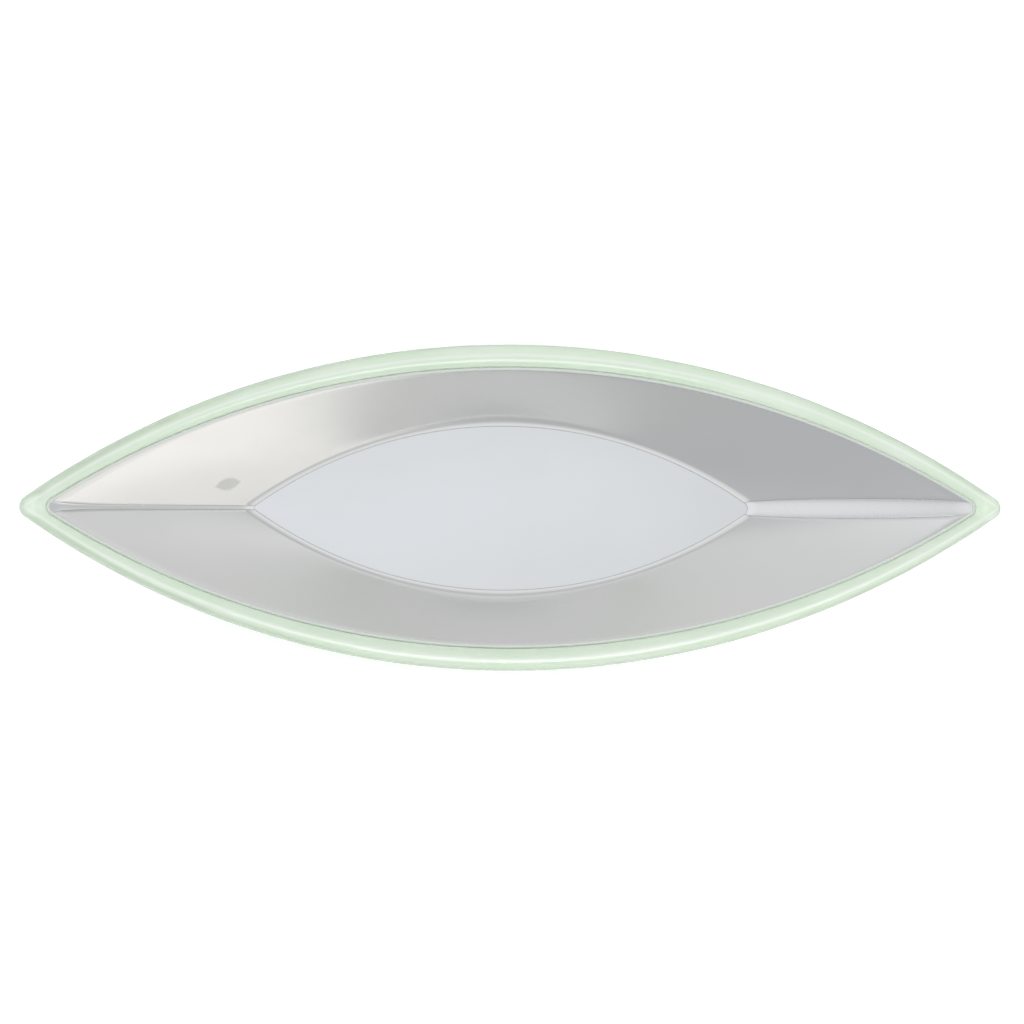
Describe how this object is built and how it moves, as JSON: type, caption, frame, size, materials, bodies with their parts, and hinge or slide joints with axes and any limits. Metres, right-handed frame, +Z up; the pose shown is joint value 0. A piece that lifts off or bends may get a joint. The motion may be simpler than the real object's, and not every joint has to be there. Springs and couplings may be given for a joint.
{
  "type": "canoe-shaped dish",
  "caption": "Shallow canoe-shaped dish, pointed at each end, with a pale green glass hull and lip round a satin metal liner and a leaf-shaped flat floor.",
  "frame": {"origin": "on the ground plane under the middle of the dish", "axes": "+X along the dish's length towards the end with the wider seam strip, +Y towards its back, +Z up"},
  "size_m": [0.4, 0.1316, 0.0432],
  "materials": {
    "green_glass": "fire-polished, pale green, translucent",
    "wall_metal": "satin polished",
    "floor_metal": "satin polished, slightly cool",
    "seam_metal": "polished",
    "clear_seal": "clear sealant, smooth",
    "adhesive": "matt",
    "soft_foot": "soft, semi-clear"
  },
  "bodies": {
    "root": {"glass_hull": "green_glass", "liner_side_back": "wall_metal", "liner_side_front": "wall_metal", "end_seam_left": "seam_metal", "end_seam_right": "seam_metal", "liner_floor": "floor_metal", "bond_pad": "adhesive", "edge_seal": "clear_seal", "foot_pad_1": "soft_foot", "foot_pad_2": "soft_foot", "foot_pad_3": "soft_foot", "foot_pad_4": "soft_foot"}
  },
  "joints": []
}
